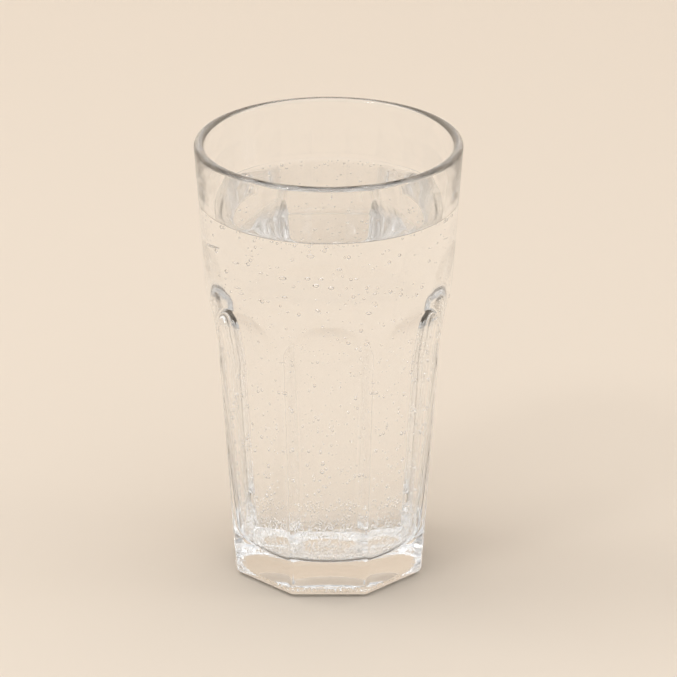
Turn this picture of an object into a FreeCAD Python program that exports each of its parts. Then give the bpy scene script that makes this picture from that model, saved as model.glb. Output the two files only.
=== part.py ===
"""A faceted drinking glass with a thick base, filled with sparkling water.

The tumbler is pressed from clear glass: a plain cone outside, eight flat
panels that rise from the foot and run out in arch tops, and a smooth round
cavity. The water fills the cavity up to its level.

Millimetres and degrees, +Z up. The origin is the middle of the underside, and
the middle of the first panel looks along +X.
"""

import FreeCAD
import Part
import Sketcher
import math
import os

DOCUMENT_NAME = "glass_of_water"
PARTS_FOLDER = "parts"

SIZES = (
    ("glass_height", 140.0, "foot to rim"),
    ("foot_radius", 32.0, "of the outer cone at the table"),
    ("rim_radius", 41.25, "of the outer cone at the rim"),
    ("rim_rounding", 1.3, "fire-polished edge, outside and inside"),
    ("heel_radius", 2.5, "rounding between the underside and the sides"),
    ("panel_count", 8, "flat panels round the glass"),
    ("panel_depth_foot", 3.15, "from the cone in to the middle of a panel, at the table"),
    ("panel_depth_head", 3.05, "the same, where the panel's arch starts"),
    ("arch_start", 73.3, "height where the panel starts to run out"),
    ("arch_radius", 54.0, "of the hollow that carries a panel out to its arch top"),
    ("rib_radius", 2.0, "rounding of the rib between two panels"),
    ("rim_wall", 3.0, "thickness of the glass at the rim"),
    ("floor_height", 9.8, "from the table to the cavity's floor"),
    ("foot_wall", 5.25, "from a panel's foot in to the cavity's cone at its floor"),
    ("floor_rounding", 4.5, "between the cavity's floor and its wall"),
    ("ring_width", 5.35, "of the flat ring it stands on, inside the heel of a panel"),
    ("underside_depth", 1.2, "of the shallow hollow inside that ring"),
    ("water_below_rim", 19.5, "from the rim down to the still surface"),
    ("water_clearance", 0.05, "between the water and the glass"),
)
CUT_MARGIN = 12.0  # how far a cutting outline runs past the glass
ROUNDING_SHARE = 0.45  # the most of the rim's wall that each of its two roundings may take

# What follows from the sizes: the leaning sides and what is measured in from them.
CONE_LEAN = "((sizes.rim_radius - sizes.foot_radius) / sizes.glass_height)"
CONE_HEAD = f"(sizes.foot_radius + sizes.arch_start * {CONE_LEAN})"
PANEL_FOOT = "(sizes.foot_radius - sizes.panel_depth_foot)"
PANEL_HEAD = f"({CONE_HEAD} - sizes.panel_depth_head)"
FLOOR_RADIUS = f"({PANEL_FOOT} - sizes.foot_wall)"
UNDERSIDE_RADIUS = f"({PANEL_FOOT} - sizes.heel_radius - sizes.ring_width)"
WATER_LEVEL = "(sizes.glass_height - sizes.water_below_rim)"

ORIGIN = (-1, 1)  # a sketch's own origin, axes and the ends of its pieces
ACROSS_AXIS = -1
UPRIGHT_AXIS = -2
START = 1
END = 2
CENTRE = 3


def make_sizes(doc):
    """The spreadsheet of driving sizes: a name, its value and what it measures."""
    sheet = doc.addObject("Spreadsheet::Sheet", "sizes")
    for row, (alias, value, meaning) in enumerate(SIZES, start=1):
        sheet.set(f"A{row}", alias)
        sheet.set(f"B{row}", str(value))
        sheet.setAlias(f"B{row}", alias)
        sheet.set(f"C{row}", meaning)
    doc.recompute()
    return sheet


def make_body(doc, label):
    """An empty body: one separate piece, named like its file."""
    body = doc.addObject("PartDesign::Body", label)
    body.Label = label
    body.Placement = FreeCAD.Placement()
    return body


def origin_feature(body, role):
    """One of a body's own base planes or axes."""
    for feature in body.Origin.OriginFeatures:
        if feature.Role == role:
            return feature
    raise RuntimeError(f"{body.Label} has no {role}")


class Outline:
    """A closed outline on a body's upright plane through the axis: X out, Y up.

    A place is a pair of expressions on the sizes: how far out and how far up.
    """

    def __init__(self, body, name):
        self.sketch = body.newObject("Sketcher::SketchObject", name)
        self.sketch.AttachmentSupport = [(origin_feature(body, "XZ_Plane"), "")]
        self.sketch.MapMode = "FlatFace"

    def value(self, expression):
        return float(self.sketch.evalExpression(expression))

    def point(self, place):
        return FreeCAD.Vector(self.value(place[0]), self.value(place[1]), 0)

    def line(self, start, end):
        """A straight edge between two places."""
        segment = Part.LineSegment(self.point(start), self.point(end))
        return self.sketch.addGeometry(segment, False)

    def arc(self, centre, radius, first, last):
        """A round edge that turns anticlockwise from one angle to the other."""
        circle = Part.Circle(self.point(centre), FreeCAD.Vector(0, 0, 1), self.value(radius))
        curve = Part.ArcOfCircle(circle, math.radians(first), math.radians(last))
        return self.sketch.addGeometry(curve, False)

    def mark(self, name, place):
        """A point at a place, for a line to run through."""
        number = self.sketch.addGeometry(Part.Point(self.point(place)), True)
        self.fix(name, (number, START), place)
        return number

    def rule(self, *arguments):
        return self.sketch.addConstraint(Sketcher.Constraint(*arguments))

    def size(self, name, expression, *arguments):
        """A dimension that follows an expression on the sizes."""
        number = self.rule(*arguments, self.value(expression))
        self.sketch.renameConstraint(number, name)
        self.sketch.setExpression(f"Constraints.{name}", expression)

    def fix(self, name, end, place):
        """Ties an end to a place."""
        self.size(f"{name}_out", place[0], "DistanceX", *ORIGIN, *end)
        self.size(f"{name}_up", place[1], "DistanceY", *ORIGIN, *end)

    def join(self, *pairs):
        """Makes the ends of each pair of pieces meet."""
        for one, other in pairs:
            self.rule("Coincident", *one, *other)

    def blend(self, *pairs):
        """Makes the ends of each pair of pieces meet with no corner between them."""
        for one, other in pairs:
            self.rule("Tangent", *one, *other)


def tumbler_side(body):
    """The outside before the panels: underside, heel, cone and rim, up to the axis."""
    outline = Outline(body, "side_outline")
    middle = ("0", "0")
    foot = ("sizes.foot_radius", "0")
    inner_foot = ("sizes.foot_radius - sizes.heel_radius", "0")
    outer_foot = ("sizes.foot_radius", "sizes.heel_radius")
    heel_centre = ("sizes.foot_radius - sizes.heel_radius", "sizes.heel_radius")
    rim = ("sizes.rim_radius", "sizes.glass_height")
    rim_middle = ("0", "sizes.glass_height")

    underside = outline.line(middle, inner_foot)
    heel = outline.arc(heel_centre, "sizes.heel_radius", -90, 0)
    cone = outline.line(outer_foot, rim)
    top = outline.line(rim, rim_middle)
    axis = outline.line(rim_middle, middle)

    outline.blend(((underside, END), (heel, START)), ((heel, END), (cone, START)))
    outline.join(((cone, END), (top, START)), ((top, END), (axis, START)))
    outline.join(((axis, END), (underside, START)), ((underside, START), ORIGIN))
    outline.rule("Horizontal", underside)
    outline.rule("Vertical", axis)
    outline.size("heel", "sizes.heel_radius", "Radius", heel)
    outline.fix("rim", (cone, END), rim)
    outline.rule("Horizontal", top)
    outline.rule("PointOnObject", outline.mark("foot", foot), START, cone)
    return outline.sketch


def panel_cut(body):
    """What is cut away beside a panel: heel, flat face and the hollow of its run-out."""
    outline = Outline(body, "panel_outline")
    reach = f"sizes.rim_radius + {CUT_MARGIN}"
    foot = (PANEL_FOOT, "0")
    head = (PANEL_HEAD, "sizes.arch_start")
    inner_foot = (f"{PANEL_FOOT} - sizes.heel_radius", "0")
    outer_foot = (PANEL_FOOT, "sizes.heel_radius")
    heel_centre = (f"{PANEL_FOOT} - sizes.heel_radius", "sizes.heel_radius")
    run_out_centre = (f"{PANEL_HEAD} + sizes.arch_radius", "sizes.arch_start")
    run_out_out = outline.value(f"{reach} - {PANEL_HEAD}")
    run_out_turn = math.degrees(math.acos(1 - run_out_out / outline.value("sizes.arch_radius")))
    run_out_up = f"sizes.arch_start + sizes.arch_radius * sin({run_out_turn} * 1 deg)"
    beyond = (reach, run_out_up)
    below = (reach, f"-{CUT_MARGIN}")
    below_foot = (f"{PANEL_FOOT} - sizes.heel_radius", f"-{CUT_MARGIN}")

    heel = outline.arc(heel_centre, "sizes.heel_radius", -90, 0)
    face = outline.line(outer_foot, head)
    run_out = outline.arc(run_out_centre, "sizes.arch_radius", 180 - run_out_turn, 180)
    outside = outline.line(beyond, below)
    under = outline.line(below, below_foot)
    back = outline.line(below_foot, inner_foot)

    outline.blend(((heel, END), (face, START)), ((face, END), (run_out, END)))
    outline.join(((run_out, START), (outside, START)), ((outside, END), (under, START)))
    outline.join(((under, END), (back, START)), ((back, END), (heel, START)))
    outline.rule("Vertical", outside)
    outline.rule("Horizontal", under)
    outline.rule("Vertical", back)
    outline.rule("Vertical", heel, START, heel, CENTRE)
    outline.rule("PointOnObject", heel, START, ACROSS_AXIS)
    outline.size("heel", "sizes.heel_radius", "Radius", heel)
    outline.size("run_out", "sizes.arch_radius", "Radius", run_out)
    outline.fix("head", (face, END), head)
    outline.size("reach", reach, "DistanceX", *ORIGIN, outside, START)
    outline.size("below", f"{CUT_MARGIN}", "DistanceY", under, START, *ORIGIN)
    outline.rule("PointOnObject", outline.mark("foot", foot), START, face)
    return outline.sketch


def cavity_outline(body, name, clearance, top):
    """The round cavity from its floor to a height, kept clear of the glass by a gap."""
    outline = Outline(body, name)
    floor = f"sizes.floor_height + {clearance}"
    rim_inside = f"sizes.rim_radius - sizes.rim_wall - {clearance}"
    floor_inside = f"{FLOOR_RADIUS} - {clearance}"
    rounding = "sizes.floor_rounding"
    lean = f"(({rim_inside}) - ({floor_inside})) / (sizes.glass_height - sizes.floor_height)"
    top_radius = f"{floor_inside} + ({top} - sizes.floor_height) * {lean}"

    floor_middle = ("0", floor)
    floor_end = (f"{floor_inside} - {rounding}", floor)
    wall_foot = (floor_inside, f"{floor} + {rounding}")
    corner_centre = (f"{floor_inside} - {rounding}", f"{floor} + {rounding}")
    wall_top = (top_radius, top)
    top_middle = ("0", top)

    base = outline.line(floor_middle, floor_end)
    corner = outline.arc(corner_centre, rounding, -90, 0)
    wall = outline.line(wall_foot, wall_top)
    surface = outline.line(wall_top, top_middle)
    axis = outline.line(top_middle, floor_middle)

    outline.blend(((base, END), (corner, START)), ((corner, END), (wall, START)))
    outline.join(((wall, END), (surface, START)), ((surface, END), (axis, START)))
    outline.join(((axis, END), (base, START)))
    outline.rule("Horizontal", base)
    outline.rule("Horizontal", surface)
    outline.rule("PointOnObject", axis, START, UPRIGHT_AXIS)
    outline.rule("PointOnObject", axis, END, UPRIGHT_AXIS)
    outline.size("floor", floor, "DistanceY", *ORIGIN, base, START)
    outline.size("rounding", rounding, "Radius", corner)
    outline.fix("top", (wall, END), wall_top)
    foot_mark = outline.mark("wall_foot", (floor_inside, "sizes.floor_height"))
    outline.rule("PointOnObject", foot_mark, START, wall)
    return outline.sketch


def underside_outline(body):
    """The shallow round hollow under the foot, which leaves a ring to stand on."""
    outline = Outline(body, "underside_outline")
    radius = UNDERSIDE_RADIUS
    depth = "sizes.underside_depth"
    sphere = f"({radius} * {radius} + {depth} * {depth}) / (2 * {depth})"
    edge = (radius, "0")
    crown = ("0", depth)
    below_edge = (radius, f"-{CUT_MARGIN}")
    below_middle = ("0", f"-{CUT_MARGIN}")
    half_angle = 2 * math.degrees(math.atan2(outline.value(depth), outline.value(radius)))

    dome = outline.arc(("0", f"{depth} - {sphere}"), sphere, 90 - half_angle, 90)
    axis = outline.line(crown, below_middle)
    under = outline.line(below_middle, below_edge)
    side = outline.line(below_edge, edge)

    outline.join(((dome, END), (axis, START)), ((axis, END), (under, START)))
    outline.join(((under, END), (side, START)), ((side, END), (dome, START)))
    outline.rule("PointOnObject", dome, CENTRE, UPRIGHT_AXIS)
    outline.rule("PointOnObject", axis, END, UPRIGHT_AXIS)
    outline.rule("Horizontal", under)
    outline.rule("Vertical", side)
    outline.rule("PointOnObject", dome, START, ACROSS_AXIS)
    outline.size("radius", radius, "DistanceX", *ORIGIN, dome, START)
    outline.rule("PointOnObject", dome, END, UPRIGHT_AXIS)
    outline.size("depth", depth, "DistanceY", *ORIGIN, dome, END)
    outline.size("below", f"{CUT_MARGIN}", "DistanceY", under, START, *ORIGIN)
    return outline.sketch


def turn(body, kind, name, sketch):
    """Turns an outline all the way round the upright axis, to add it or to cut it."""
    feature = body.newObject(kind, name)
    feature.Profile = sketch
    feature.ReferenceAxis = (sketch, ["V_Axis"])
    feature.Angle = 360
    return feature


def cut_panels(body):
    """One panel cut straight across the cone, then repeated round the axis."""
    cut = body.newObject("PartDesign::Pocket", "panel")
    cut.Profile = panel_cut(body)
    cut.Type = "ThroughAll"
    cut.SideType = "Symmetric"
    pattern = body.newObject("PartDesign::PolarPattern", "panels")
    pattern.Originals = [cut]
    pattern.Axis = (origin_feature(body, "Z_Axis"), [""])
    pattern.Angle = 360
    pattern.setExpression("Occurrences", "sizes.panel_count")
    body.Tip = pattern
    return pattern


def edges_at_height(shape, height):
    """The names of the edges that lie level at a height."""
    names = []
    for number, edge in enumerate(shape.Edges, start=1):
        box = edge.BoundBox
        if abs(box.ZMin - height) < 1e-4 and abs(box.ZMax - height) < 1e-4:
            names.append(f"Edge{number}")
    return names


def is_flat_side(face):
    """True for a flat face that isn't level."""
    return face.Surface.TypeId == "Part::GeomPlane" and abs(face.normalAt(0, 0).z) < 0.5


def edges_between_flats(shape):
    """The names of the edges where two flat faces that stand upright meet."""
    names = []
    for number, edge in enumerate(shape.Edges, start=1):
        flats = [face for face in shape.ancestorsOfType(edge, Part.Face) if is_flat_side(face)]
        if len(flats) == 2:
            names.append(f"Edge{number}")
    return names


def round_edges(body, name, edges, radius):
    """Rounds edges of what the body is so far."""
    before = body.Tip
    fillet = body.newObject("PartDesign::Fillet", name)
    fillet.Base = (before, edges)
    fillet.setExpression("Radius", radius)
    return fillet


def cut_more(doc, body, before):
    """Recomputes and makes sure that the last cut took glass away. Returns what is left."""
    doc.recompute()
    left = body.Tip.Shape.Volume
    if not 0 < left < before:
        raise RuntimeError(f"{body.Tip.Label} cuts nothing: {before:.1f} to {left:.1f}")
    return left


def make_tumbler(doc):
    """The glass: a turned cone, cut to panels with soft ribs, hollowed, fire-polished."""
    body = make_body(doc, "tumbler")
    turn(body, "PartDesign::Revolution", "side", tumbler_side(body))
    doc.recompute()
    volume = body.Tip.Shape.Volume
    cut_panels(body)
    volume = cut_more(doc, body, volume)
    round_edges(body, "rib_round", edges_between_flats(body.Tip.Shape), "sizes.rib_radius")
    volume = cut_more(doc, body, volume)
    top = "sizes.glass_height"
    turn(body, "PartDesign::Groove", "cavity", cavity_outline(body, "cavity_outline", "0", top))
    volume = cut_more(doc, body, volume)
    turn(body, "PartDesign::Groove", "underside", underside_outline(body))
    volume = cut_more(doc, body, volume)
    rim_edges = edges_at_height(body.Tip.Shape, doc.sizes.glass_height)
    rim_radius = f"min(sizes.rim_rounding; {ROUNDING_SHARE} * sizes.rim_wall)"
    round_edges(body, "rim_round", rim_edges, rim_radius)
    cut_more(doc, body, volume)
    return body


def make_water(doc):
    """The water: it fills the cavity from the floor up to its still surface."""
    body = make_body(doc, "water")
    sketch = cavity_outline(body, "water_outline", "sizes.water_clearance", WATER_LEVEL)
    turn(body, "PartDesign::Revolution", "filling", sketch)
    doc.recompute()
    return body


def check(doc, bodies):
    """Stops if a feature failed or a piece isn't one sound solid."""
    for item in doc.Objects:
        if {"Invalid", "Error"} & set(item.State):
            raise RuntimeError(f"{item.Label} failed: {item.State}")
    for body in bodies:
        shape = body.Shape
        if shape.isNull() or not shape.isValid() or len(shape.Solids) != 1:
            raise RuntimeError(f"{body.Label} isn't one sound solid")


def main():
    doc = FreeCAD.newDocument(DOCUMENT_NAME)
    make_sizes(doc)
    bodies = (make_tumbler(doc), make_water(doc))
    doc.recompute()
    check(doc, bodies)
    os.makedirs(PARTS_FOLDER, exist_ok=True)
    for body in bodies:
        body.Shape.exportStep(os.path.join(PARTS_FOLDER, f"{body.Label}.step"))
        print(f"{body.Label}: {body.Shape.Volume / 1000:.2f} cm3")


main()
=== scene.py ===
import math
import random

import bmesh
import bpy
from bpy.props import FloatProperty, FloatVectorProperty, IntProperty, PointerProperty
from mathutils import Matrix, Vector, noise


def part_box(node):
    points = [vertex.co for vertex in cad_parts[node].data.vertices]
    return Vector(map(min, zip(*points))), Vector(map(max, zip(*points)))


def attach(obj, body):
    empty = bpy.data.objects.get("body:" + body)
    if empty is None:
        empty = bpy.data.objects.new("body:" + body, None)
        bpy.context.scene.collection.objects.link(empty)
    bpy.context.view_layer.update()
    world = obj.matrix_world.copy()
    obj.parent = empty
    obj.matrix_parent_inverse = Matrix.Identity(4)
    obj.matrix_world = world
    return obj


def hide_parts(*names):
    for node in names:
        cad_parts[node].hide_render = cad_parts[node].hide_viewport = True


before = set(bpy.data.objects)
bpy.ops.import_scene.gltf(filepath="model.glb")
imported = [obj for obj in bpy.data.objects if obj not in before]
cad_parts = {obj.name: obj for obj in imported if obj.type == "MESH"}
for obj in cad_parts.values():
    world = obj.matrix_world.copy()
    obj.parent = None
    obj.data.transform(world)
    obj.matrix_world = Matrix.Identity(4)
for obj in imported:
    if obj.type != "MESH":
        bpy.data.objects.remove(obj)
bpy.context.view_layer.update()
TUMBLER_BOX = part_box("tumbler")
WATER_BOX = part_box("water")

bl_info = {
    "name": "Glass of Sparkling Water",
    "version": (1, 0, 0),
    "blender": (4, 5, 0),
    "location": "3D View > Sidebar > Glass",
    "description": "A faceted tumbler of sparkling water with its bubbles",
    "category": "Object",
}

MM = 0.001
INSET = 0.02 * MM  # keeps the outside within the box of the solids
GLASS_HEIGHT = TUMBLER_BOX[1][2]
WATER_LEVEL = WATER_BOX[1][2]
FULL_TURN = 2 * math.pi
PANEL_COUNT = 8
SECTOR = FULL_TURN / PANEL_COUNT
AXIS_FOOT = (0, 0, 0)
ON_AXIS = 1e-9  # a corner nearer to the axis than this, in metres, has no direction
SAME_PLACE = 1e-7  # corners nearer to each other than this, in metres, become one
SHARP_ANGLE = math.radians(40)

# How strongly each clear material bends light. Gas is seen from the water.
GLASS_IOR = 1.52
WATER_IOR = 1.333
GAS_IOR = 0.75

# The slight waver of the pressed faces.
WAVER_SCALE = 55.0
WAVER_DETAIL = 1.0
WAVER_STRENGTH = 0.04
WAVER_DEPTH = 0.3 * MM

# Into how many columns a whole turn is divided, and each stretch of an outline.
TUMBLER_COLUMNS = 512
WATER_COLUMNS = 256
DOME_STEPS = 8
RING_STEPS = 12
HEEL_STEPS = 12
PANEL_STEPS = 16
ARCH_STEPS = 64
UPPER_STEPS = 16
RIM_STEPS = 8
FLOOR_STEPS = 8
CORNER_STEPS = 14
GLASS_WALL_STEPS = 24
WATER_WALL_STEPS = 20
SURFACE_STEPS = 26

# The close rows that show the arches start and end this far from the arches' start.
ROWS_BELOW_ARCH = 6 * MM
ROWS_ABOVE_ARCH = 21 * MM

# A column's place is part drawn towards the rib and part left even.
DRAWN_SHARE = 0.7
EVEN_SHARE = 0.3
# The grain stops short of a sector's two edges, so that the sectors still meet.
GRAIN_REACH = 0.49 * SECTOR

# How bubbles gather, and how their sizes and places are drawn.
CLUMP = 9 * MM
FLOOR_CLUMP = 3 * MM
CLUMP_CHANCE = 0.55
MOSTLY_SMALL = 2.4
EVENLY_SIZED = 1.0
EVEN_OVER_DISC = 0.5
CLOSE_TO_EDGE = 4
FLOOR_SIZE_SHARE = 0.6
RISING_SIZE_SHARE = 0.7
WALL_STOP = 1.0 * MM  # the wall's bubbles end this far below the surface
FLOOR_CLIMB = 3.0 * MM  # the floor's bubbles end this far up the wall from the corner
SURFACE_BAND = 6.0 * MM  # the surface's bubbles reach this far in from the wall
RISING_MARGIN = 2.0 * MM  # rising bubbles keep this far from the floor and the surface
DRAWS_PER_BUBBLE = 20
BUBBLE_BATCH = 40
SPHERE_SUBDIVISIONS = 2

# The surround: its strength, how much of the overhead light the grey above the
# horizon has, and the heights of the horizon, the grey and the overhead light.
SKY_STRENGTH = 1.1
GREY_SHARE = 0.38
HORIZON_STOP = 0.12
GREY_STOP = 0.3
OVERHEAD_STOP = 0.85

# The lamps: name, width and height, place, power in watts, colour.
LIT_PLACE = (0, 0, 0.05)
DAYLIGHT = (1.0, 0.99, 0.97)
WHITE = (1.0, 1.0, 1.0)
LAMPS = (
    ("window", (1.0, 1.0), (-1.4, 0.2, 1.8), 6.5, DAYLIGHT),
    ("sparkle", (0.3, 0.3), (-0.9, -0.9, 1.5), 3.0, WHITE),
    ("fill", (0.6, 1.4), (1.7, -0.2, 1.0), 2.5, DAYLIGHT),
)

# The table, in metres. It lies a little low, clear of the glass's underside.
TABLE_DROP = 0.3 * MM
TABLE_NEAR = -5.0
TABLE_FAR = 1.0
TABLE_HALF_WIDTH = 5.0
TABLE_BEND = 0.5
TABLE_BEND_STEPS = 16
TABLE_TOP = 2.2

CAMERA_PLACE = (0.0030, -1.4161, 0.6629)
CAMERA_DOWN = 22.55  # degrees below level
CAMERA_LENS = 263.2
CAMERA_SENSOR = 36.0

# Light that is trapped in the glass is given up after this many reflections,
# which greys the rim.
TRAPPED_BOUNCES = 12
CLEAR_BOUNCES = 64


def length(name, description, millimetres):
    """A length property whose default is given in millimetres."""
    return FloatProperty(
        name=name, description=description, default=millimetres * MM, min=0.0,
        unit="LENGTH", subtype="DISTANCE", precision=5,
    )


def colour(name, description, value):
    """A colour property, linear red, green and blue."""
    return FloatVectorProperty(
        name=name, description=description, default=value, min=0.0, max=1.0,
        subtype="COLOR", size=3,
    )


class GlassTumblerSizes(bpy.types.PropertyGroup):
    """The sizes of the pressed glass."""

    foot_radius: length("Foot radius", "Outer cone at the table", 32.0)
    rim_radius: length("Rim radius", "Outer cone at the rim", 41.25)
    heel_radius: length("Heel radius", "Rounding between underside and sides", 2.5)
    panel_depth_foot: length("Panel depth at the foot", "From the cone in to a panel", 3.15)
    panel_depth_head: length("Panel depth at the arch", "From the cone in to a panel", 3.05)
    arch_start: length("Arch start", "Height where a panel starts to run out", 73.3)
    arch_radius: length("Arch radius", "Of the hollow that carries a panel out", 54.0)
    rib_rounding: length("Rib rounding", "Of the rib between two panels", 2.0)
    arch_softness: length("Arch softness", "How softly a panel's arch meets the cone", 0.35)
    rim_wall: length("Rim wall", "Thickness of the glass at the rim", 3.0)
    rim_rounding: length("Rim rounding", "Fire-polished edge of the rim", 1.3)
    floor_height: length("Floor height", "From the table to the cavity's floor", 9.8)
    foot_wall: length("Foot wall", "From a panel's foot in to the cavity", 5.25)
    floor_rounding: length("Floor rounding", "Between the cavity's floor and wall", 4.5)
    ring_width: length("Ring width", "Of the flat ring it stands on", 5.35)
    underside_depth: length("Underside depth", "Of the hollow under the foot", 1.2)
    stipple: length("Stipple", "Depth of the pressed grain of the ring it stands on", 0.45)


class GlassWaterSizes(bpy.types.PropertyGroup):
    """The sizes of the water."""

    wall_reach: length("Reach into the wall", "How far the water reaches into the glass", 0.12)
    climb: length("Climb", "How far the surface climbs at the glass", 0.8)
    climb_width: length("Climb width", "How far in from the wall the climb fades", 1.0)


class GlassBubbleSizes(bpy.types.PropertyGroup):
    """How many bubbles there are, and how large."""

    smallest: length("Smallest", "Radius of the smallest bubble", 0.16)
    largest: length("Largest", "Radius of the largest bubble", 0.7)
    clearance: length("Clearance", "Between a bubble and the glass or the air", 0.03)
    wall_count: IntProperty(name="On the wall", description="Bubbles on the wall", default=950)
    floor_count: IntProperty(name="On the floor", description="Bubbles on the floor", default=1400)
    edge_count: IntProperty(name="At the edge", description="Bubbles at the surface", default=130)
    free_count: IntProperty(name="Rising", description="Bubbles in the water", default=90)
    seed: IntProperty(name="Seed", description="Start of the random draws", default=7)


class GlassColours(bpy.types.PropertyGroup):
    """The colours of the glass, the water and the stage."""

    glass: colour("Glass", "Tint of the glass", (0.998, 1.0, 1.0))
    water: colour("Water", "Tint of the water", (1.0, 1.0, 1.0))
    floor: colour("Floor", "Colour of the table", (0.85, 0.745, 0.63))
    sky: colour("Sky", "Colour of the soft light overhead", (0.96, 0.98, 1.0))
    horizon: colour("Horizon", "Colour of the surround behind the table", (0.76, 0.67, 0.56))


def new_material(name):
    """An empty node material with its output node."""
    material = bpy.data.materials.new(name)
    material.use_nodes = True
    tree = material.node_tree
    tree.nodes.clear()
    output = tree.nodes.new("ShaderNodeOutputMaterial")
    return material, tree, output


def object_noise(tree, scale, detail):
    """Cloudy noise fixed to the object."""
    place = tree.nodes.new("ShaderNodeTexCoord")
    cloud = tree.nodes.new("ShaderNodeTexNoise")
    cloud.inputs["Scale"].default_value = scale
    cloud.inputs["Detail"].default_value = detail
    tree.links.new(place.outputs["Object"], cloud.inputs["Vector"])
    return cloud


def glass_material():
    """Clear pressed glass whose faces waver a little."""
    material, tree, output = new_material("clear_pressed_glass")
    shader = tree.nodes.new("ShaderNodeBsdfPrincipled")
    tint = bpy.context.scene.glass_colours.glass
    shader.inputs["Base Color"].default_value = (*tint, 1)
    shader.inputs["Roughness"].default_value = 0.0
    shader.inputs["IOR"].default_value = GLASS_IOR
    shader.inputs["Transmission Weight"].default_value = 1.0
    waver = object_noise(tree, WAVER_SCALE, WAVER_DETAIL)
    bump = tree.nodes.new("ShaderNodeBump")
    bump.inputs["Strength"].default_value = WAVER_STRENGTH
    bump.inputs["Distance"].default_value = WAVER_DEPTH
    tree.links.new(waver.outputs["Fac"], bump.inputs["Height"])
    tree.links.new(bump.outputs["Normal"], shader.inputs["Normal"])
    tree.links.new(shader.outputs["BSDF"], output.inputs["Surface"])
    return material


def water_material():
    """Clear still water."""
    material, tree, output = new_material("clear_water")
    shader = tree.nodes.new("ShaderNodeBsdfPrincipled")
    tint = bpy.context.scene.glass_colours.water
    shader.inputs["Base Color"].default_value = (*tint, 1)
    shader.inputs["Roughness"].default_value = 0.0
    shader.inputs["IOR"].default_value = WATER_IOR
    shader.inputs["Transmission Weight"].default_value = 1.0
    tree.links.new(shader.outputs["BSDF"], output.inputs["Surface"])
    return material


def gas_material():
    """Gas in water: a bubble bends light the other way from a drop."""
    material, tree, output = new_material("gas_bubble")
    shader = tree.nodes.new("ShaderNodeBsdfGlass")
    shader.inputs["Color"].default_value = (*WHITE, 1)
    shader.inputs["Roughness"].default_value = 0.0
    shader.inputs["IOR"].default_value = GAS_IOR
    tree.links.new(shader.outputs["BSDF"], output.inputs["Surface"])
    return material


def add_piece(name, bm, material):
    """Makes a smooth object of a finished bmesh, at the origin, and lets it ride."""
    mesh = bpy.data.meshes.new(name)
    bm.to_mesh(mesh)
    bm.free()
    mesh.shade_smooth()
    mesh.set_sharp_from_angle(angle=SHARP_ANGLE)
    piece = bpy.data.objects.new(name, mesh)
    bpy.context.scene.collection.objects.link(piece)
    piece.data.materials.append(material)
    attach(piece, "root")
    return piece


def round_steps(centre, radius, first, last, steps):
    """Places along an arc from one angle to another, in degrees from straight out."""
    out, up = centre
    places = []
    for step in range(steps + 1):
        angle = math.radians(first + (last - first) * step / steps)
        places.append((out + radius * math.cos(angle), up + radius * math.sin(angle)))
    return places


def straight_steps(start, end, steps):
    """Places along a line, the start left out."""
    (out, up), (end_out, end_up) = start, end
    return [
        (out + (end_out - out) * step / steps, up + (end_up - up) * step / steps)
        for step in range(1, steps + 1)
    ]


def turned(places, columns, shape=None):
    """A closed body turned from an outline that starts and ends on the axis.

    One sector is turned and shaped, then repeated round the axis. Each corner
    keeps the number of the place that it was turned from.
    """
    bm = bmesh.new()
    row = bm.verts.layers.int.new("row")
    points = []
    for number, (out, up) in enumerate(places):
        point = bm.verts.new((out, 0, up))
        point[row] = number
        points.append(point)
    edges = [bm.edges.new(pair) for pair in zip(points, points[1:])]
    turn = Matrix.Rotation(-SECTOR / 2, 3, "Z")
    bmesh.ops.rotate(bm, verts=points, cent=AXIS_FOOT, matrix=turn)
    bmesh.ops.spin(
        bm, geom=points + edges, cent=AXIS_FOOT, axis=(0, 0, 1), dvec=(0, 0, 0), angle=SECTOR,
        steps=columns // PANEL_COUNT, use_merge=False, use_duplicate=False,
    )
    if shape:
        shape(bm)
    sector = bm.verts[:] + bm.edges[:] + bm.faces[:]
    for number in range(1, PANEL_COUNT):
        copy = bmesh.ops.duplicate(bm, geom=sector)["geom"]
        corners = [item for item in copy if isinstance(item, bmesh.types.BMVert)]
        turn = Matrix.Rotation(number * SECTOR, 3, "Z")
        bmesh.ops.rotate(bm, verts=corners, cent=AXIS_FOOT, matrix=turn)
    bmesh.ops.remove_doubles(bm, verts=bm.verts, dist=SAME_PLACE)
    bmesh.ops.recalc_face_normals(bm, faces=bm.faces)
    return bm


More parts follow.
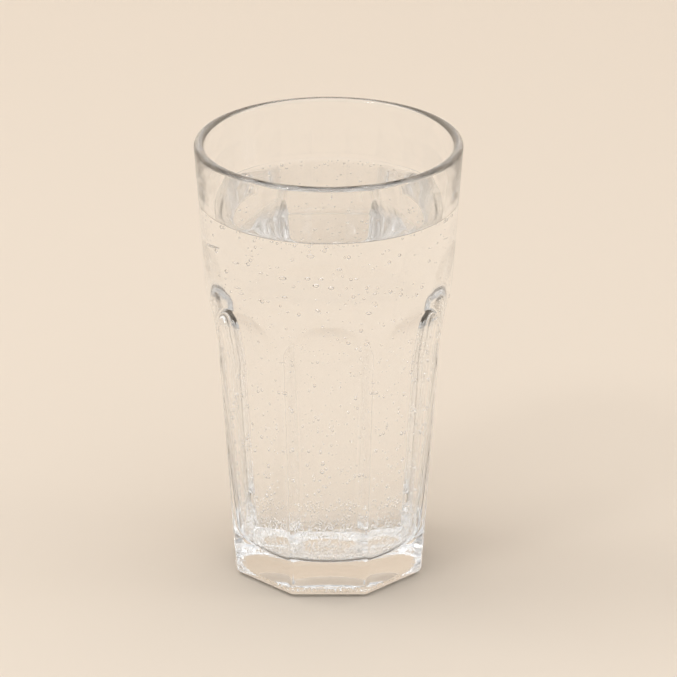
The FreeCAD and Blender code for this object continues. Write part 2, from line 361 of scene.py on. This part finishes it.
class Side:
    """The outside of the tumbler: a cone cut by flat panels that run out in arches."""

    def __init__(self, sizes):
        self.sizes = sizes
        self.lean = (sizes.rim_radius - sizes.foot_radius) / GLASS_HEIGHT
        self.foot = sizes.foot_radius - sizes.panel_depth_foot
        self.head = self.cone(sizes.arch_start) - sizes.panel_depth_head
        self.panel_lean = (self.head - self.foot) / sizes.arch_start

    def cone(self, height):
        """How far the outer cone stands from the axis at a height."""
        return self.sizes.foot_radius + self.lean * height - INSET

    def panel(self, height):
        """How far a panel stands from the axis at a height."""
        rise = height - self.sizes.arch_start
        if rise <= 0:
            return self.foot + self.panel_lean * height
        radius = self.sizes.arch_radius
        if rise >= radius:
            return self.head + radius
        return self.head + radius - math.sqrt(radius * radius - rise * rise)

    def heel(self, radius, height):
        """Draws a side in to its rounded heel near the table."""
        heel = self.sizes.heel_radius
        if height >= heel:
            return radius
        return radius - heel + math.sqrt(max(0.0, heel * heel - (heel - height) ** 2))

    def ribbed(self, panel, turn):
        """The reach of the panels' rounded polygon in a direction from a panel's middle."""
        rounding = self.sizes.rib_rounding
        corner = (panel - rounding) / math.cos(SECTOR / 2)
        from_rib = SECTOR / 2 - abs(turn)
        across = rounding * math.sin(SECTOR / 2)
        along = corner + rounding * math.cos(SECTOR / 2)
        if from_rib >= math.atan2(across, along):
            return panel / math.cos(turn)
        side = corner * math.sin(from_rib)
        return corner * math.cos(from_rib) + math.sqrt(rounding * rounding - side * side)

    def reach(self, height, turn):
        """How far the outside stands from the axis at a height, in a direction."""
        cone = self.heel(self.cone(height), height)
        panels = self.ribbed(self.heel(self.panel(height), height), turn)
        softness = self.sizes.arch_softness
        overlap = max(softness - abs(cone - panels), 0.0)
        return min(cone, panels) - overlap * overlap / (4 * softness)


class Cavity:
    """The cavity's outline as a path: out along its floor, round its corner, up its wall."""

    def __init__(self, sizes):
        floor_radius = sizes.foot_radius - sizes.panel_depth_foot - sizes.foot_wall
        rim_inside = sizes.rim_radius - sizes.rim_wall
        lean = (rim_inside - floor_radius) / (GLASS_HEIGHT - sizes.floor_height)
        self.slope = math.atan(lean)
        self.floor = sizes.floor_height
        self.rounding = sizes.floor_rounding
        self.flat = floor_radius + lean * self.rounding - self.rounding / math.cos(self.slope)
        self.bend = self.flat + self.rounding * (math.pi / 2 - self.slope)

    def place(self, along, off):
        """The place at a distance along the path, standing off the glass."""
        if along <= self.flat:
            return along, self.floor + off
        angle = min((along - self.flat) / self.rounding, math.pi / 2 - self.slope) - math.pi / 2
        climb = max(along - self.bend, 0.0)
        reach = self.rounding - off
        out = self.flat + reach * math.cos(angle) + climb * math.sin(self.slope)
        up = self.floor + self.rounding + reach * math.sin(angle) + climb * math.cos(self.slope)
        return out, up

    def along_at(self, height):
        """How far along the path the wall reaches a height."""
        return self.bend + (height - self.place(self.bend, 0.0)[1]) / math.cos(self.slope)

    def places(self, top, grow, wall_steps):
        """The outline from the middle of the floor up to a height, grown into the glass."""
        alongs = [0.0]
        stretches = (
            (self.flat, FLOOR_STEPS),
            (self.bend, CORNER_STEPS),
            (self.along_at(top), wall_steps),
        )
        for stop, steps in stretches:
            start = alongs[-1]
            alongs += [start + (stop - start) * step / steps for step in range(1, steps + 1)]
        return [self.place(along, -grow) for along in alongs]


def tumbler_places(sizes):
    """The whole outline of the glass, from under its middle round to its floor's middle.

    The rows of the ring and of the side are told apart, because the panels
    shape them. Their places out from the axis are worked out later.
    """
    side = Side(sizes)
    ring_inside = side.foot - sizes.heel_radius - sizes.ring_width
    ring_outside = sizes.foot_radius - sizes.heel_radius
    rim_edge = GLASS_HEIGHT - sizes.rim_rounding

    # The hollow under the foot, then the ring that the glass stands on.
    places = []
    for step in range(DOME_STEPS + 1):
        share = step / DOME_STEPS
        places.append((ring_inside * share, sizes.underside_depth * (1 - share * share)))
    places += straight_steps(places[-1], (ring_outside, 0), RING_STEPS)
    ring_rows = range(DOME_STEPS + 1, len(places))

    # The heel and the side, up to the rim.
    for step in range(1, HEEL_STEPS + 1):
        angle = math.pi / 2 * step / HEEL_STEPS
        places.append((0, sizes.heel_radius * (1 - math.cos(angle))))
    rows_start = sizes.arch_start - ROWS_BELOW_ARCH
    rows_end = sizes.arch_start + ROWS_ABOVE_ARCH
    places += straight_steps(places[-1], (0, rows_start), PANEL_STEPS)
    places += straight_steps(places[-1], (0, rows_end), ARCH_STEPS)
    places += straight_steps(places[-1], (0, rim_edge), UPPER_STEPS)
    side_rows = range(ring_rows[-1] + 1, len(places))

    # Over the rim, down the wall and in along the floor.
    rounding = sizes.rim_rounding
    outer = side.cone(rim_edge)
    places += round_steps((outer - rounding, rim_edge), rounding, 0, 90, RIM_STEPS)[1:]
    cavity = Cavity(sizes).places(rim_edge, 0.0, GLASS_WALL_STEPS)
    inner = cavity[-1][0]
    places += round_steps((inner + rounding, rim_edge), rounding, 90, 180, RIM_STEPS)
    places += list(reversed(cavity))[1:]
    return places, ring_rows, side_rows, ring_inside


def gathered(angle):
    """Draws columns together towards the ribs, where the outside turns most."""
    share = angle / (SECTOR / 2)
    return (DRAWN_SHARE * math.sin(math.pi / 2 * share) + EVEN_SHARE * share) * SECTOR / 2


def shape_outside(bm, sizes, ring_rows, side_rows, ring_inside):
    """Moves a turned sector's corners out of the round and onto its panel."""
    side = Side(sizes)
    row = bm.verts.layers.int["row"]
    ring_outside = sizes.foot_radius - sizes.heel_radius
    grain = random.Random(PANEL_COUNT)
    for point in bm.verts:
        out = math.hypot(point.co.x, point.co.y)
        turn = gathered(math.atan2(point.co.y, point.co.x)) if out > ON_AXIS else 0.0
        if point[row] in ring_rows:
            share = (out - ring_inside) / (ring_outside - ring_inside)
            out = ring_inside + (side.reach(0.0, turn) - ring_inside) * share
            if abs(turn) < GRAIN_REACH:
                point.co.z = sizes.stipple * grain.random()
        elif point[row] in side_rows:
            out = side.reach(point.co.z, turn)
        point.co = (out * math.cos(turn), out * math.sin(turn), point.co.z)


class GLASS_OT_tumbler(bpy.types.Operator):
    """Makes the pressed glass and lets it stand for the tumbler"""

    bl_idname = "glass.tumbler"
    bl_label = "Tumbler"

    def execute(self, context):
        sizes = context.scene.glass_tumbler
        places, ring_rows, side_rows, ring_inside = tumbler_places(sizes)
        side = Side(sizes)
        outline = [
            (side.heel(side.cone(up), up) if number in side_rows else out, up)
            for number, (out, up) in enumerate(places)
        ]

        def shape(bm):
            shape_outside(bm, sizes, ring_rows, side_rows, ring_inside)

        bm = turned(outline, TUMBLER_COLUMNS, shape)
        piece = add_piece("pressed_glass", bm, glass_material())
        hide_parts("tumbler")
        return {"FINISHED"}


class GLASS_OT_water(bpy.types.Operator):
    """Makes the water with its surface drawn up at the glass"""

    bl_idname = "glass.water"
    bl_label = "Water"

    def execute(self, context):
        sizes = context.scene.glass_tumbler
        water = context.scene.glass_water
        top = WATER_LEVEL + water.climb
        places = Cavity(sizes).places(top, water.wall_reach, WATER_WALL_STEPS)
        edge = places[-1][0]
        for step in range(1, SURFACE_STEPS + 1):
            share = (step / SURFACE_STEPS) ** 2  # rows lie closest at the wall
            rise = water.climb * math.exp(-edge * share / water.climb_width)
            places.append((edge * (1 - share), WATER_LEVEL + rise))
        bm = turned(places, WATER_COLUMNS)
        piece = add_piece("sparkling_water", bm, water_material())
        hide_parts("water")
        return {"FINISHED"}


class Bubbles:
    """Draws bubbles inside the water, clumped as they gather on glass."""

    def __init__(self, context):
        self.sizes = context.scene.glass_bubbles
        self.cavity = Cavity(context.scene.glass_tumbler)
        self.chance = random.Random(self.sizes.seed)

    def radius(self, share=1.0, smallness=MOSTLY_SMALL):
        """A bubble's radius, within a share of the range of sizes."""
        span = (self.sizes.largest - self.sizes.smallest) * share
        return self.sizes.smallest + span * self.chance.random() ** smallness

    def at(self, along, turn, radius):
        """A bubble that rests on the glass."""
        out, up = self.cavity.place(along, radius + self.sizes.clearance)
        return Vector((out * math.cos(turn), out * math.sin(turn), up)), radius

    def clumped(self, place, size):
        """Whether a place lies in a clump of the given size."""
        return noise.noise(place / size) + CLUMP_CHANCE > self.chance.random()

    def on_wall(self):
        """A bubble on the wall, or nothing where no clump is."""
        top = self.cavity.along_at(WATER_LEVEL - WALL_STOP)
        along = self.cavity.bend + (top - self.cavity.bend) * self.chance.random()
        bubble = self.at(along, FULL_TURN * self.chance.random(), self.radius())
        return bubble if self.clumped(bubble[0], CLUMP) else None

    def on_floor(self):
        """A bubble on the floor, in its corner or just above, or nothing."""
        top = self.cavity.bend + FLOOR_CLIMB
        along = top * self.chance.random() ** EVEN_OVER_DISC
        turn = FULL_TURN * self.chance.random()
        bubble = self.at(along, turn, self.radius(FLOOR_SIZE_SHARE, EVENLY_SIZED))
        return bubble if self.clumped(bubble[0], FLOOR_CLUMP) else None

    def at_surface(self):
        """A bubble just under the surface, most often near the wall, or nothing."""
        radius = self.radius()
        turn = FULL_TURN * self.chance.random()
        edge = self.cavity.place(self.cavity.along_at(WATER_LEVEL - radius), radius)[0]
        inward = SURFACE_BAND * self.chance.random() ** CLOSE_TO_EDGE
        out = edge - self.sizes.clearance - inward
        up = WATER_LEVEL - radius - self.sizes.clearance
        bubble = Vector((out * math.cos(turn), out * math.sin(turn), up)), radius
        return bubble if self.clumped(bubble[0], CLUMP) else None

    def rising(self):
        """A bubble free in the water."""
        radius = self.radius(RISING_SIZE_SHARE)
        turn = FULL_TURN * self.chance.random()
        out = (self.cavity.flat - radius) * self.chance.random() ** EVEN_OVER_DISC
        low = self.cavity.floor + RISING_MARGIN
        up = low + (WATER_LEVEL - RISING_MARGIN - low) * self.chance.random()
        return Vector((out * math.cos(turn), out * math.sin(turn), up)), radius

    def spaced(self, count, draw):
        """As many bubbles as asked for, none of them touching another."""
        kept = []
        for _ in range(count * DRAWS_PER_BUBBLE):
            bubble = draw()
            if bubble is None:
                continue
            centre, radius = bubble
            if all((centre - other).length > radius + reach for other, reach in kept):
                kept.append(bubble)
            if len(kept) == count:
                return kept
        raise RuntimeError("there is no room for so many bubbles")


def bubble_piece(name, bubbles, material):
    """One mesh of small spheres, joined a batch at a time."""
    whole = bmesh.new()
    for start in range(0, len(bubbles), BUBBLE_BATCH):
        batch = bmesh.new()
        for centre, radius in bubbles[start:start + BUBBLE_BATCH]:
            bmesh.ops.create_icosphere(
                batch, subdivisions=SPHERE_SUBDIVISIONS, radius=radius,
                matrix=Matrix.Translation(centre),
            )
        mesh = bpy.data.meshes.new(name)
        batch.to_mesh(mesh)
        batch.free()
        whole.from_mesh(mesh)
        bpy.data.meshes.remove(mesh)
    add_piece(name, whole, material)


class GLASS_OT_bubbles(bpy.types.Operator):
    """Makes the bubbles on the wall, on the floor, at the surface and rising"""

    bl_idname = "glass.bubbles"
    bl_label = "Bubbles"

    def execute(self, context):
        sizes = context.scene.glass_bubbles
        bubbles = Bubbles(context)
        gas = gas_material()
        kinds = (
            ("wall_bubbles", sizes.wall_count, bubbles.on_wall),
            ("floor_bubbles", sizes.floor_count, bubbles.on_floor),
            ("surface_bubbles", sizes.edge_count, bubbles.at_surface),
            ("rising_bubbles", sizes.free_count, bubbles.rising),
        )
        for name, count, draw in kinds:
            bubble_piece(name, bubbles.spaced(count, draw), gas)
        return {"FINISHED"}


def studio_world(tint, horizon):
    """Soft light all round: warm at the horizon, grey above it and bright overhead."""
    world = bpy.data.worlds.new("studio")
    world.use_nodes = True
    tree = world.node_tree
    sky = tree.nodes["Background"]
    sky.inputs["Strength"].default_value = SKY_STRENGTH
    way = tree.nodes.new("ShaderNodeTexCoord")
    axes = tree.nodes.new("ShaderNodeSeparateXYZ")
    ramp = tree.nodes.new("ShaderNodeValToRGB")
    ramp.color_ramp.interpolation = "EASE"
    grey = [GREY_SHARE * channel for channel in tint]
    stops = ((HORIZON_STOP, horizon), (GREY_STOP, grey), (OVERHEAD_STOP, tint))
    ramp.color_ramp.elements.new(GREY_STOP)
    for stop, (height, shade) in zip(ramp.color_ramp.elements, stops):
        stop.position = height
        stop.color = (*shade, 1)
    tree.links.new(way.outputs["Generated"], axes.inputs["Vector"])
    tree.links.new(axes.outputs["Z"], ramp.inputs["Fac"])
    tree.links.new(ramp.outputs["Color"], sky.inputs["Color"])
    return world


def soft_box(name, size, place, power, tint):
    """A large soft lamp that faces the glass."""
    lamp = bpy.data.lights.new(name, "AREA")
    lamp.shape = "RECTANGLE"
    lamp.size, lamp.size_y = size
    lamp.energy = power
    lamp.color = tint
    holder = bpy.data.objects.new(name, lamp)
    holder.location = place
    aim = Vector(LIT_PLACE) - Vector(place)
    holder.rotation_euler = aim.to_track_quat("-Z", "Y").to_euler()
    bpy.context.scene.collection.objects.link(holder)


def sweep_mesh():
    """A wide sheet that lies on the table and curves up far behind the glass."""
    bm = bmesh.new()
    outline = [(TABLE_NEAR, -TABLE_DROP), (TABLE_FAR, -TABLE_DROP)]
    for step in range(1, TABLE_BEND_STEPS + 1):
        angle = math.pi / 2 * step / TABLE_BEND_STEPS
        back = TABLE_FAR + TABLE_BEND * math.sin(angle)
        up = -TABLE_DROP + TABLE_BEND * (1 - math.cos(angle))
        outline.append((back, up))
    outline.append((TABLE_FAR + TABLE_BEND, TABLE_TOP))
    line = [bm.verts.new((-TABLE_HALF_WIDTH, back, up)) for back, up in outline]
    edges = [bm.edges.new(pair) for pair in zip(line, line[1:])]
    wide = bmesh.ops.extrude_edge_only(bm, edges=edges)["geom"]
    corners = [item for item in wide if isinstance(item, bmesh.types.BMVert)]
    bmesh.ops.translate(bm, verts=corners, vec=(2 * TABLE_HALF_WIDTH, 0, 0))
    mesh = bpy.data.meshes.new("table")
    bm.to_mesh(mesh)
    bm.free()
    mesh.shade_smooth()
    return mesh


def floor_material():
    """A pale matt table."""
    material, tree, output = new_material("pale_table")
    shader = tree.nodes.new("ShaderNodeBsdfDiffuse")
    tint = bpy.context.scene.glass_colours.floor
    shader.inputs["Color"].default_value = (*tint, 1)
    tree.links.new(shader.outputs["BSDF"], output.inputs["Surface"])
    return material


def lay_table(scene):
    """Lays the table under the glass."""
    floor = bpy.data.objects.new("table", sweep_mesh())
    scene.collection.objects.link(floor)
    floor.data.materials.append(floor_material())


def add_camera(scene):
    """Places the camera in front of the glass, looking down at it."""
    camera_data = bpy.data.cameras.new("camera")
    camera_data.lens = CAMERA_LENS
    camera_data.sensor_width = CAMERA_SENSOR
    camera = bpy.data.objects.new("camera", camera_data)
    camera.location = CAMERA_PLACE
    camera.rotation_euler = (math.radians(90 - CAMERA_DOWN), 0, 0)
    scene.collection.objects.link(camera)
    scene.camera = camera


class GLASS_OT_stage(bpy.types.Operator):
    """Makes the pale table, the soft light and the camera"""

    bl_idname = "glass.stage"
    bl_label = "Stage"

    def execute(self, context):
        scene = context.scene
        colours = scene.glass_colours
        lay_table(scene)
        scene.world = studio_world(colours.sky, colours.horizon)
        for lamp in LAMPS:
            soft_box(*lamp)
        add_camera(scene)
        scene.view_settings.view_transform = "Standard"
        scene.cycles.max_bounces = CLEAR_BOUNCES
        scene.cycles.transmission_bounces = CLEAR_BOUNCES
        scene.cycles.glossy_bounces = TRAPPED_BOUNCES
        return {"FINISHED"}


class GLASS_PT_sidebar(bpy.types.Panel):
    """Lists the steps that make the glass of water"""

    bl_idname = "GLASS_PT_sidebar"
    bl_label = "Glass of Sparkling Water"
    bl_space_type = "VIEW_3D"
    bl_region_type = "UI"
    bl_category = "Glass"

    def draw(self, context):
        scene = context.scene
        steps = (
            (GLASS_OT_tumbler, scene.glass_tumbler),
            (GLASS_OT_water, scene.glass_water),
            (GLASS_OT_bubbles, scene.glass_bubbles),
            (GLASS_OT_stage, scene.glass_colours),
        )
        for step, settings in steps:
            box = self.layout.box()
            for name in settings.__annotations__:
                box.prop(settings, name)
            box.operator(step.bl_idname)


CLASSES = (
    GlassTumblerSizes,
    GlassWaterSizes,
    GlassBubbleSizes,
    GlassColours,
    GLASS_OT_tumbler,
    GLASS_OT_water,
    GLASS_OT_bubbles,
    GLASS_OT_stage,
    GLASS_PT_sidebar,
)

SETTINGS = {
    "glass_tumbler": GlassTumblerSizes,
    "glass_water": GlassWaterSizes,
    "glass_bubbles": GlassBubbleSizes,
    "glass_colours": GlassColours,
}


def register():
    """Adds the classes, and their settings to the scene."""
    for item in CLASSES:
        bpy.utils.register_class(item)
    for name, group in SETTINGS.items():
        setattr(bpy.types.Scene, name, PointerProperty(type=group))


def unregister():
    """Takes the settings and the classes away again."""
    for name in SETTINGS:
        delattr(bpy.types.Scene, name)
    for item in reversed(CLASSES):
        bpy.utils.unregister_class(item)


def main():
    """Makes the glass of water on its stage."""
    register()
    bpy.ops.glass.tumbler()
    bpy.ops.glass.water()
    bpy.ops.glass.bubbles()
    bpy.ops.glass.stage()


if __name__ == "__main__":
    main()
